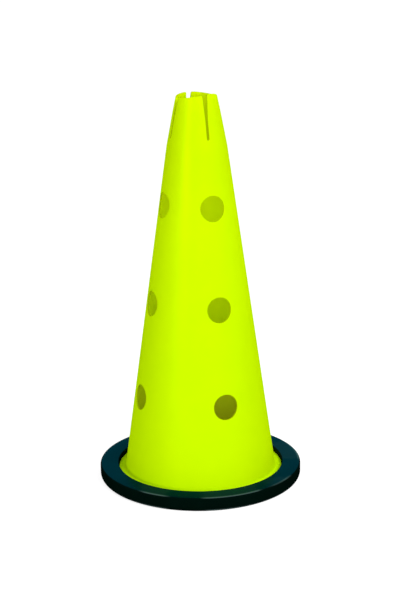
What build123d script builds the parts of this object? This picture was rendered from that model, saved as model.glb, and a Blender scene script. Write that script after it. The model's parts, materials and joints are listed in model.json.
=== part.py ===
from build123d import *
from build123d.topology import SkipClean

import os
from math import hypot

# A sports marker cone: a hollow, one-piece plastic cone with cross holes for poles and a slotted
# tip, and a loose rubber ring that sits on the brim round its foot and weighs it down.
# Millimetres. The origin is the centre of the base on the floor, and +Z runs up the cone's axis.

# Cone wall
cone_height = 500.0
wall = 2.5
foot_radius = 99.8  # outside of the straight wall, carried down to the floor
shoulder_height = 437.0  # where the tip begins and the taper steepens
shoulder_radius = 37.75
shoulder_round = 40.0
rim_radius = 25.6  # outside of the open top
rim_round = 1.1

# Brim: the wall turns out, then down to the floor
brim_height = 13.0
foot_round = 3.0  # hollow corner between wall and brim
brim_corner_round = 1.5  # inside of the brim's turned-down corner

# Cross holes: opposite pairs, so that a pole runs straight through the cone
hole_diameter = 32.0
low_row_height = 118.0
middle_row_height = 240.0
top_row_height = 365.0

# Slots that part the tip into springy tabs
slot_depth = 52.0
slot_width = 3.4
slot_mouth = 7.0
slot_lead = 28.0  # depth of the flared lead-in
slot_lead_round = 150.0
tab_corner_round = 2.0

# Rubber ring
ring_bore_clearance = 5.4  # past the end of the hollow corner
lip_overlap = 6.5  # how far the ring's lip reaches over the brim
lip_thickness = 6.2
rebate_clearance = 0.5  # between the brim's edge and the ring round it
ring_skirt = 18.0
ring_bore_draft = 1.0
ring_bore_round = 1.8
ring_top_round = 2.5
ring_foot_round = 7.0

# Sizes that follow from those above
taper = (foot_radius - shoulder_radius) / shoulder_height
tip_taper = (shoulder_radius - rim_radius) / (cone_height - shoulder_height)
foot_corner_radius = foot_radius - taper * brim_height
foot_round_height = brim_height + foot_round
seat_radius = foot_radius - taper * foot_round_height + foot_round * hypot(1, taper)
ring_bore_radius = seat_radius + ring_bore_clearance
brim_radius = ring_bore_radius + lip_overlap
rebate_radius = brim_radius + rebate_clearance
ring_radius = rebate_radius + ring_skirt
ring_height = brim_height + lip_thickness
hole_radius = hole_diameter / 2
slot_floor = cone_height - slot_depth
cross_planes = (Plane.XZ, Plane.YZ)

# Cone: one wall turned round the axis, trimmed level at the rim, then slotted and cross-drilled
trim = 4 * wall  # the tip is drawn this far past the rim
with BuildPart() as cone_shell:
    with BuildSketch(Plane.XZ):
        with BuildLine():
            FilletPolyline(
                (rim_radius - tip_taper * trim, cone_height + trim),
                (shoulder_radius, shoulder_height),
                (foot_corner_radius, brim_height),
                (brim_radius, brim_height),
                (brim_radius, 0),
                radius=[shoulder_round, foot_round, wall + brim_corner_round],
            )
            offset(amount=wall, side=Side.RIGHT)
        make_face()
    revolve(axis=Axis.Z)
    split(bisect_by=Plane.XY.offset(cone_height), keep=Keep.BOTTOM)
    fillet(cone_shell.edges().group_by(Axis.Z)[-1], min(rim_round, 0.45 * wall))

    for side in cross_planes:
        with BuildSketch(side):
            with BuildLine():
                edge = FilletPolyline(
                    (slot_mouth + tab_corner_round, cone_height + trim),
                    (slot_mouth + tab_corner_round, cone_height + rim_round),
                    (slot_mouth / 2, cone_height + rim_round),
                    (slot_width / 2, cone_height - slot_lead),
                    (slot_width / 2, slot_floor + slot_width / 2),
                    radius=[0, tab_corner_round + rim_round, slot_lead_round],
                )
                mirror(about=Plane.YZ)
                ThreePointArc(
                    edge @ 1,
                    (0, slot_floor),
                    (-slot_width / 2, slot_floor + slot_width / 2),
                )
                Line(edge @ 0, (-slot_mouth - tab_corner_round, cone_height + trim))
            make_face()
        extrude(amount=foot_radius, both=True, mode=Mode.SUBTRACT)

    # The wall slopes, so each hole is cut as an upper and a lower half, which lie at different depths
    # and stay separate faces
    with SkipClean():
        for row_height in (low_row_height, middle_row_height, top_row_height):
            for side in cross_planes:
                for half in (0, 180):
                    with BuildSketch(side):
                        with BuildLine():
                            bow = CenterArc((0, row_height), hole_radius, half, 180)
                            Line(bow @ 1, bow @ 0)
                        make_face()
                    extrude(amount=foot_radius, both=True, mode=Mode.SUBTRACT, clean=False)
cone_shell.part.label = "cone_shell"

# Ring: its lip lies on the brim, and its skirt goes round the brim's edge down to the floor
with BuildPart() as base_ring:
    with BuildSketch(Plane.XZ):
        with BuildLine():
            FilletPolyline(
                (ring_bore_radius, brim_height),
                (ring_bore_radius + ring_bore_draft, ring_height),
                (ring_radius, ring_height),
                (ring_radius, 0),
                (rebate_radius, 0),
                (rebate_radius, brim_height),
                close=True,
                radius=[0, ring_bore_round, ring_top_round, ring_foot_round, 0, 0],
            )
        make_face()
    revolve(axis=Axis.Z)
base_ring.part.label = "base_ring"

os.makedirs("parts", exist_ok=True)
export_step(cone_shell.part, "parts/cone_shell.step")
export_step(base_ring.part, "parts/base_ring.step")
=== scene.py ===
import json
from math import asin, atan2, cos, pi, radians, sin, sqrt, tan

import bmesh
import bpy
from mathutils import Matrix, Vector


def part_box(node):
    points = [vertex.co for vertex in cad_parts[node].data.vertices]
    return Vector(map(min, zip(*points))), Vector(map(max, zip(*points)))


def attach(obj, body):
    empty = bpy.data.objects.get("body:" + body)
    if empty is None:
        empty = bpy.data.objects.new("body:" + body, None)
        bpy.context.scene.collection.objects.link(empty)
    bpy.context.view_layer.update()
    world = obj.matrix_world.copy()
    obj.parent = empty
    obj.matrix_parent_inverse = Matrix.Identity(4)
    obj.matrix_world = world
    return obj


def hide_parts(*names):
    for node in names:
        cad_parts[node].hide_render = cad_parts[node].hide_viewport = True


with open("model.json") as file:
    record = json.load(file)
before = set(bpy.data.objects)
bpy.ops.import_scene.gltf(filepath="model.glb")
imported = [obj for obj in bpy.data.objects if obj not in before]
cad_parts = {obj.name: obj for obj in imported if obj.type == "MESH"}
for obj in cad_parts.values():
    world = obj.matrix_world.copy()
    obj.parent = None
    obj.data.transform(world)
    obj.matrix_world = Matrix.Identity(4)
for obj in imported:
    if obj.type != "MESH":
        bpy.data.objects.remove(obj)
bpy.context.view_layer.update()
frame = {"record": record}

# Cone shell
# One hollow injection moulding in fluorescent yellow-green plastic, open at the foot and at the top.
# The wall is turned from one outline: a straight taper, a steeper tip, a hollow corner and a brim.
cone_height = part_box("cone_shell")[1].z
brim_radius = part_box("cone_shell")[1].x
brim_height = 0.013
brim_round = 0.004
foot_radius = 0.0998  # outside of the straight wall, carried down to the floor
foot_round = 0.003
shoulder_height = 0.437
shoulder_radius = 0.03775
rim_radius = 0.0256
wall = 0.0025
row_step = 0.003  # from one row of faces to the next
columns = 180  # faces round the axis
merge_distance = 1e-6

taper = (foot_radius - shoulder_radius) / shoulder_height
tip_taper = (shoulder_radius - rim_radius) / (cone_height - shoulder_height)


def wall_radius(height):
    if height < shoulder_height:
        return foot_radius - taper * height
    return shoulder_radius - tip_taper * (height - shoulder_height)


cone = bmesh.new()
rim = cone.verts.new((rim_radius, 0, cone_height))
shoulder = cone.verts.new((shoulder_radius, 0, shoulder_height))
foot = cone.verts.new((wall_radius(brim_height), 0, brim_height))
brim_corner = cone.verts.new((brim_radius, 0, brim_height))
brim_edge = cone.verts.new((brim_radius, 0, 0))
outline_points = [rim, shoulder, foot, brim_corner, brim_edge]
for start, end in zip(outline_points, outline_points[1:]):
    cone.edges.new((start, end))


def round_corner(mesh, corner, radius, segments):
    first, second = (edge.other_vert(corner).co - corner.co for edge in corner.link_edges)
    setback = radius / tan(first.angle(second) / 2)
    bmesh.ops.bevel(mesh, geom=[corner], offset=setback, affect="VERTICES", segments=segments,
                    profile=0.5, material=-1)


round_corner(cone, foot, foot_round, segments=6)
round_corner(cone, brim_corner, brim_round, segments=5)
for side in [edge for edge in cone.edges if edge.calc_length() > brim_height]:
    bmesh.ops.subdivide_edges(cone, edges=[side], cuts=round(side.calc_length() / row_step))
top_row = max(cone.edges, key=lambda edge: edge.verts[0].co.z + edge.verts[1].co.z)
bmesh.ops.subdivide_edges(cone, edges=[top_row], cuts=3)
bmesh.ops.spin(cone, geom=cone.verts[:] + cone.edges[:], cent=(0, 0, 0), axis=(0, 0, 1),
               angle=2 * pi, steps=columns, use_merge=True)

# Cross holes and tip slots
# Each opening is drawn as it is seen along its own axis: the wall's faces there are taken away, and the
# edge that is left is drawn in to the opening's outline in a few steps, on the wall all the way.
cut_edges = []


def open_up(turn, half_angle, low, high, outline, gaps):
    to_side = Matrix.Rotation(-turn, 4, "Z")

    def lies_in_opening(face):
        centre = to_side @ face.calc_center_median()
        return abs(atan2(centre.y, centre.x)) < half_angle and low < centre.z < high

    taken = [face for face in cone.faces if lies_in_opening(face)]
    edge = [
        side
        for face in taken
        for side in face.edges
        if len(side.link_faces) == 2 and not all(lies_in_opening(beside) for beside in side.link_faces)
    ]
    bmesh.ops.delete(cone, geom=taken, context="FACES")
    for gap in gaps:
        drawn = bmesh.ops.extrude_edge_only(cone, edges=edge)["geom"]
        points = [part for part in drawn if isinstance(part, bmesh.types.BMVert)]
        new_sides = [part for part in drawn if isinstance(part, bmesh.types.BMEdge)]
        edge = [side for side in new_sides if all(end in points for end in side.verts)]
        for point in points:
            seen = to_side @ point.co
            across, up = outline(seen.y, seen.z, gap)
            depth = sqrt(wall_radius(up) ** 2 - across ** 2)
            point.co = to_side.inverted() @ Vector((depth, across, up))
    cut_edges.append((to_side, outline, points))


hole_rows = [mount for mount in frame["record"]["mounts"] if mount["name"].endswith("_pole_hole_x")]
hole_margin = 0.0035  # faces are taken away this far round a hole
hole_gaps = (0.001, 0)
quarter_turns = [radians(turn) for turn in (0, 90, 180, 270)]
for row in hole_rows:
    hole_height = row["pos_m"][2]
    hole_radius = row["dims"]["r_mm"] / 1000

    def hole_outline(across, up, gap, radius=hole_radius, height=hole_height):
        spoke = Vector((across, up - height))
        spoke.length = radius + gap
        return spoke.x, height + spoke.y

    reach = hole_radius + hole_margin
    half_angle = asin(reach / wall_radius(hole_height))
    for turn in quarter_turns:
        open_up(turn, half_angle, hole_height - reach, hole_height + reach, hole_outline, hole_gaps)

slot_floor = cone_height - 0.052
slot_half_width = 0.0017
slot_half_mouth = 0.0034
slot_lead = 0.028  # depth of the flared lead-in
slot_margin = 0.006  # faces are taken away this far below a slot
slot_half_angle = radians(16)  # and this far to each side of it
slot_gaps = (0.0025, 0.0008, 0)
tab_corner_round = 0.0031
tab_corner_start = cone_height - 0.002


def slot_outline(across, up, gap):
    flare = max(0, (up - cone_height + slot_lead) / slot_lead)
    half_width = slot_half_width + (slot_half_mouth - slot_half_width) * flare
    into_corner = max(0, up - tab_corner_start)
    half_width += tab_corner_round - sqrt(tab_corner_round ** 2 - into_corner ** 2)
    middle = max(up, slot_floor + slot_half_width)
    spoke = Vector((across, up - middle))
    spoke.length = half_width + gap
    return spoke.x, middle + spoke.y


for turn in quarter_turns:
    open_up(turn, slot_half_angle, slot_floor - slot_margin, cone_height, slot_outline, slot_gaps)

# The wall gets its thickness inwards, and each opening goes straight through it
outside_finish, inside_finish, cut_finish = range(3)
bmesh.ops.remove_doubles(cone, verts=cone.verts[:], dist=merge_distance)
bmesh.ops.recalc_face_normals(cone, faces=cone.faces[:])
outside = set(cone.verts)
outside_faces = set(cone.faces)
thickened = bmesh.ops.solidify(cone, geom=cone.faces[:], thickness=wall)["geom"]
inside_faces = {part for part in thickened if isinstance(part, bmesh.types.BMFace)}
for to_side, outline, points in cut_edges:
    for point in points:
        neighbours = [edge.other_vert(point) for edge in point.link_edges]
        inner = next(neighbour for neighbour in neighbours if neighbour not in outside)
        seen = to_side @ inner.co
        across, up = outline(seen.y, seen.z, 0)
        inner.co = to_side.inverted() @ Vector((seen.x, across, up))
for face in cone.faces:
    face.smooth = True
    face.material_index = cut_finish
    if face in outside_faces:
        face.material_index = outside_finish
    elif face in inside_faces:
        face.material_index = inside_finish

# The tabs' ends stand a little uneven, as on a cone in use: they are worn down beside the slots at +X and
# -X and stand a little higher towards -Y, and the one between -Y and +X stands up most
tab_bend_start = cone_height - 0.02
tab_wear = 0.0008
slot_wear = 0.0015
front_rise = 0.0007
tall_tab_rise = 0.0024
tall_tab_angle = -pi / 3
tall_tab_waves = 2.5
for point in cone.verts:
    share = max(0, (point.co.z - tab_bend_start) / (cone_height - tab_bend_start))
    angle = atan2(point.co.y, point.co.x)
    rise = -tab_wear - slot_wear * cos(2 * angle) - front_rise * sin(angle)
    if -pi / 2 < angle < 0:
        rise += tall_tab_rise * max(0, cos(tall_tab_waves * (angle - tall_tab_angle)))
    point.co.z += share * rise

edge_round = 0.0005
sharp_angle = radians(50)
sharp = [edge for edge in cone.edges if edge.calc_face_angle(0) > sharp_angle]
bmesh.ops.bevel(cone, geom=sharp, offset=edge_round, affect="EDGES", segments=2, profile=0.5, material=-1,
                clamp_overlap=True)

cone_mesh = bpy.data.meshes.new("cone")
cone.to_mesh(cone_mesh)
cone.free()
cone_piece = bpy.data.objects.new("cone", cone_mesh)
bpy.context.scene.collection.objects.link(cone_piece)


class Tone:
    """One output of a finish's nodes. Arithmetic adds Math nodes, and node() adds any other node."""

    def __init__(self, tree, socket=None):
        self.tree = tree
        self.socket = socket

    def node(self, kind, settings, inputs, output=0):
        made = self.tree.nodes.new("ShaderNode" + kind)
        for name, value in settings.items():
            setattr(made, name, value)
        for name, value in inputs.items():
            if isinstance(value, Tone):
                self.tree.links.new(value.socket, made.inputs[name])
            else:
                made.inputs[name].default_value = value
        return Tone(self.tree, made.outputs[output] if made.outputs else None)

    def noise(self, scale, detail, roughness):
        """Clouds between 0 and 1, where this tone is a place."""
        return self.node("TexNoise", {}, {
            "Vector": self,
            "Scale": scale,
            "Detail": detail,
            "Roughness": roughness,
        })

    def fade(self, start, full):
        """A soft mask: 0 where this tone is at start, 1 where it is at full."""
        return self.node("MapRange", {"interpolation_type": "SMOOTHSTEP"}, {
            "Value": self,
            "From Min": start,
            "From Max": full,
        })

    def blend(self, first, second):
        """The first colour where this tone is 0, the second where it is 1."""
        return self.node("Mix", {"data_type": "RGBA"}, {0: self, 6: first, 7: second}, 2)

    def math(self, operation, first, second):
        return self.node("Math", {"operation": operation}, {0: first, 1: second})

    def __add__(self, other):
        return self.math("ADD", self, other)

    def __radd__(self, other):
        return self.math("ADD", other, self)

    def __sub__(self, other):
        return self.math("SUBTRACT", self, other)

    def __rsub__(self, other):
        return self.math("SUBTRACT", other, self)

    def __mul__(self, other):
        return self.math("MULTIPLY", self, other)

    def __rmul__(self, other):
        return self.math("MULTIPLY", other, self)


def bare_material(name):
    material = bpy.data.materials.new(name)
    material.use_nodes = True
    material.node_tree.nodes.clear()
    return material, Tone(material.node_tree)


# Where each painted shade and the glossier top begin and where they are full, as shares of the cone's
# height
foot_shade_start, foot_shade_full = 0.36, 0.0
tip_shade_start, tip_shade_full = 0.64, 0.86
lit_rim, shaded_rim = 0.998, 0.988
handled_start, handled_full = 0.55, 0.95

# Painted shade inside the cone, browner and darker towards its foot
foot_shade_colour = (0.66, 0.56, 0.06, 1)
# Painted shade inside the tip, below its lit rim
tip_shade_colour = (0.22, 0.29, 0.0, 1)
gloss_colour = (1.0, 1.0, 0.0, 1)
glow_colour = (0.98, 0.98, 0.0, 1)  # of light that comes through the wall
# The painted tip shade also cuts this share of the light through the wall
tip_shade_dimming = 0.35
foot_glow, rim_glow = 0.38, 1.04


def cone_plastic(name, colour, pale_colour, full_glow, foot_shade=0.0, tip_shade=0.0):
    material, nodes = bare_material(name)
    place = nodes.node("TexCoord", {}, {}, "Object")
    height_share = 1 / cone_height * nodes.node("SeparateXYZ", {}, {"Vector": place}, "Z")
    cloudy = place.noise(scale=28.0, detail=3.0, roughness=0.6)
    grain = place.noise(scale=1100.0, detail=2.0, roughness=0.5)
    bump = nodes.node("Bump", {}, {"Strength": 0.5, "Distance": 0.00005, "Height": grain + 1.5 * cloudy})
    # Paler in random clouds, and paler towards the top as painted light
    clouds_and_top_light = 0.5 * cloudy + 0.5 * height_share
    # Painted shade: browner and darker towards the foot, where it is given
    foot_shaded = foot_shade * height_share.fade(foot_shade_start, foot_shade_full)
    # Painted shade: darker inside the tip below its lit rim, where it is given
    tip_shaded = tip_shade * height_share.fade(tip_shade_start, tip_shade_full) * height_share.fade(lit_rim, shaded_rim)
    handled = height_share.fade(handled_start, handled_full)
    tint = clouds_and_top_light.blend(colour, pale_colour)
    tint = foot_shaded.blend(tint, foot_shade_colour)
    tint = tip_shaded.blend(tint, tip_shade_colour)
    surface = nodes.node("BsdfPrincipled", {}, {
        "Base Color": tint,
        "Metallic": 0.03 + 0.045 * handled,
        "Roughness": 0.24 + 0.08 * cloudy + 0.04 * grain,
        "Specular IOR Level": 0.0,
        "Specular Tint": gloss_colour,
        "Normal": bump,
    })
    glow = nodes.node("BsdfTranslucent", {}, {"Color": glow_colour, "Normal": bump})
    risen_glow = foot_glow + (rim_glow - foot_glow) * height_share
    # The painted tip shade also lets less light through the wall there
    glow_share = full_glow * risen_glow * (1 - tip_shade_dimming * tip_shaded)
    mixed = nodes.node("MixShader", {}, {0: glow_share, 1: surface, 2: glow})
    nodes.node("OutputMaterial", {}, {"Surface": mixed})
    return material


outside_plastic = cone_plastic(
    "cone_plastic_outside", (0.54, 0.92, 0.0, 1), (0.66, 0.99, 0.0, 1), full_glow=0.32)
# The inside is a yellower copy of the same plastic, whose colour paints the warmer light seen inside
# through the openings; it also carries the painted shade at the foot and in the tip
inside_plastic = cone_plastic(
    "cone_plastic_inside", (0.73, 0.9, 0.0, 1), (0.76, 0.93, 0.0, 1), full_glow=0.77, foot_shade=1.0, tip_shade=0.6)
# The cut faces are a darker copy of the plastic, which paints the shade inside the narrow slots and holes
shaded_cut_plastic = cone_plastic(
    "cone_plastic_cut", (0.48, 0.65, 0.0, 1), (0.52, 0.69, 0.0, 1), full_glow=0.1)
for finish in (outside_plastic, inside_plastic, shaded_cut_plastic):
    cone_mesh.materials.append(finish)
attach(cone_piece, "cone")
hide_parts("cone_shell")

# Base ring
# A loose ring moulded in black rubber, turned from one rounded section. Its lip lies on the cone's brim,
# and its skirt goes round the brim's edge down to the floor, so that its weight holds the cone upright.
ring_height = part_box("base_ring")[1].z
ring_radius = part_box("base_ring")[1].x
lip_overlap = 0.0065
rebate_clearance = 0.0005
ring_bore_radius = brim_radius - lip_overlap
ring_bore_draft = 0.001
ring_bore_round = 0.0018
ring_top_round = 0.0025
ring_foot_round = 0.007
ring_edge_round = 0.0004
rebate_radius = brim_radius + rebate_clearance

ring = bmesh.new()
lip_foot = ring.verts.new((ring_bore_radius, 0, brim_height))
bore_edge = ring.verts.new((ring_bore_radius + ring_bore_draft, 0, ring_height))
top_edge = ring.verts.new((ring_radius, 0, ring_height))
foot_edge = ring.verts.new((ring_radius, 0, 0))
skirt_foot = ring.verts.new((rebate_radius, 0, 0))
rebate_corner = ring.verts.new((rebate_radius, 0, brim_height))
section = [lip_foot, bore_edge, top_edge, foot_edge, skirt_foot, rebate_corner]
for start, end in zip(section, section[1:] + section[:1]):
    ring.edges.new((start, end))
round_corner(ring, bore_edge, ring_bore_round, segments=5)
round_corner(ring, top_edge, ring_top_round, segments=7)
round_corner(ring, foot_edge, ring_foot_round, segments=10)
for corner in (lip_foot, skirt_foot, rebate_corner):
    round_corner(ring, corner, ring_edge_round, segments=2)
bmesh.ops.spin(ring, geom=ring.verts[:] + ring.edges[:], cent=(0, 0, 0), axis=(0, 0, 1),
               angle=2 * pi, steps=columns, use_merge=True)
bmesh.ops.remove_doubles(ring, verts=ring.verts[:], dist=merge_distance)
bmesh.ops.recalc_face_normals(ring, faces=ring.faces[:])
for face in ring.faces:
    face.smooth = True
ring_mesh = bpy.data.meshes.new("ring")
ring.to_mesh(ring_mesh)
ring.free()
ring_piece = bpy.data.objects.new("ring", ring_mesh)
bpy.context.scene.collection.objects.link(ring_piece)

black = (0.0003, 0.003, 0.0017, 1)
pale_black = (0.0006, 0.006, 0.0042, 1)
# The teal on the flat top is a painted sheen, a painted reflection; the same colour also tints the top's
# metallic reflection
teal_sheen = (0.0003, 0.008, 0.011, 1)
pale_teal_sheen = (0.0006, 0.012, 0.016, 1)
sheen_colour = (0.0, 0.82, 1.0, 1)
# A paler colour painted along the upper edge as highlights
highlight_colour = (0.05, 0.085, 0.08, 1)
highlight_pattern = 43.0  # picks where along the edge the painted highlights lie
highlight_start, highlight_full = 0.44, 0.56

rubber, nodes = bare_material("ring_rubber")
place = nodes.node("TexCoord", {}, {}, "Object")
flat = nodes.node("VectorMath", {"operation": "MULTIPLY"}, {0: place, 1: (1, 1, 0)})
outward = nodes.node("VectorMath", {"operation": "LENGTH"}, {0: flat}, "Value")
upward = nodes.node("SeparateXYZ", {}, {"Vector": place}, "Z")
cloudy = place.noise(scale=35.0, detail=4.0, roughness=0.6)
grain = place.noise(scale=900.0, detail=2.0, roughness=0.6)
highlight_patches = nodes.node("TexNoise", {"noise_dimensions": "4D"}, {
    "Vector": place,
    "W": highlight_pattern,
    "Scale": 16.0,
    "Detail": 2.0,
    "Roughness": 0.5,
})
# Painted highlights lie on the round of the upper edge and faintly on the flat top beside it, and the
# painted teal sheen lies on the flat top
at_edge = outward.fade(ring_radius - 1.6 * ring_top_round, ring_radius - 1.0 * ring_top_round)
above_wall = outward.fade(ring_radius - 0.25 * ring_top_round, ring_radius - 0.5 * ring_top_round)
on_top = upward.fade(ring_height - 0.15 * ring_top_round, ring_height - 0.01 * ring_top_round)
painted_highlight = highlight_patches.fade(highlight_start, highlight_full) * above_wall * (0.1 + 0.9 * at_edge)
tint = on_top.blend(cloudy.blend(black, pale_black), cloudy.blend(teal_sheen, pale_teal_sheen))
bump = nodes.node("Bump", {}, {"Strength": 0.6, "Distance": 0.0001, "Height": grain})
surface = nodes.node("BsdfPrincipled", {}, {
    "Base Color": painted_highlight.blend(tint, highlight_colour),
    "Metallic": 0.42 * on_top,
    "Roughness": 0.38 + 0.16 * cloudy,
    "Specular IOR Level": 0.0,
    "Specular Tint": sheen_colour,
    "Normal": bump,
})
nodes.node("OutputMaterial", {}, {"Surface": surface})
ring_mesh.materials.append(rubber)
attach(ring_piece, "ring")
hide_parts("base_ring")

# Floor
# A wide white sheet under the object. Seen by the camera it is lifted towards white, and it keeps the
# object's soft shadow.
floor_colour = (0.45, 0.45, 0.45, 1)
floor_lift = 0.8
white = (1, 1, 1, 1)

floor = bmesh.new()
bmesh.ops.create_grid(floor, x_segments=1, y_segments=1, size=12)
floor_mesh = bpy.data.meshes.new("floor")
floor.to_mesh(floor_mesh)
floor.free()
floor_piece = bpy.data.objects.new("floor", floor_mesh)
bpy.context.scene.collection.objects.link(floor_piece)


def seen_rays(nodes):
    camera_ray, glossy_ray, transmission_ray = (
        nodes.node("LightPath", {}, {}, f"Is {kind} Ray") for kind in ("Camera", "Glossy", "Transmission"))
    return camera_ray + glossy_ray + transmission_ray


paper, nodes = bare_material("floor_white")
matt = nodes.node("BsdfDiffuse", {}, {"Color": floor_colour})
lift = nodes.node("Emission", {}, {"Color": white, "Strength": floor_lift * seen_rays(nodes)})
lifted = nodes.node("AddShader", {}, {0: matt, 1: lift})
nodes.node("OutputMaterial", {}, {"Surface": lifted})
floor_mesh.materials.append(paper)

# Studio light
# An even white room, a large soft lamp high at the camera's right and a weaker one low at its left.
room_level = 0.55
lamp_distance = 2.5
lamp_size = 1.2

room = bpy.data.worlds.new("room")
room.use_nodes = True
room.node_tree.nodes.clear()
nodes = Tone(room.node_tree)
sky = nodes.node("Background", {}, {
    "Color": white,
    "Strength": room_level + (1 - room_level) * seen_rays(nodes),
})
nodes.node("OutputWorld", {}, {"Surface": sky})
bpy.context.scene.world = room


def soft_lamp(name, azimuth, elevation, power):
    lamp = bpy.data.lights.new(name, "AREA")
    lamp.shape = "DISK"
    lamp.size = lamp_size
    lamp.energy = power
    stand = bpy.data.objects.new(name, lamp)
    middle = Matrix.Translation((0, 0, cone_height / 2))
    aim = Matrix.Rotation(azimuth, 4, "Z") @ Matrix.Rotation(pi / 2 - elevation, 4, "X")
    stand.matrix_world = middle @ aim @ Matrix.Translation((0, 0, lamp_distance))
    bpy.context.scene.collection.objects.link(stand)


soft_lamp("key", azimuth=radians(14), elevation=radians(38), power=43.6)
soft_lamp("fill", azimuth=radians(-61), elevation=radians(5), power=22.0)

# Camera
# It stands about two metres off and looks down on the cone, turned so that one row of holes faces a
# little to its right. The picture is 401 by 601 pixels, and the lens is given for its long side.
camera_azimuth = radians(-23.5)
camera_distance = 1.9623
camera_height = 0.7997
camera_pitch = radians(16.03)
camera_yaw = radians(-0.07)
camera_roll = radians(-0.62)
focal_length_px = 1600
picture_height_px = 601

lens = bpy.data.cameras.new("camera")
lens.sensor_width = 36
lens.lens = focal_length_px / picture_height_px * lens.sensor_width
lens.clip_end = 100
camera = bpy.data.objects.new("camera", lens)
stand = Matrix.Rotation(camera_azimuth, 4, "Z") @ Matrix.Translation((0, -camera_distance, camera_height))
aim = (Matrix.Rotation(camera_yaw, 4, "Z") @ Matrix.Rotation(pi / 2 - camera_pitch, 4, "X")
       @ Matrix.Rotation(camera_roll, 4, "Z"))
camera.matrix_world = stand @ aim
bpy.context.scene.collection.objects.link(camera)
bpy.context.scene.camera = camera
bpy.context.scene.view_settings.view_transform = "Standard"
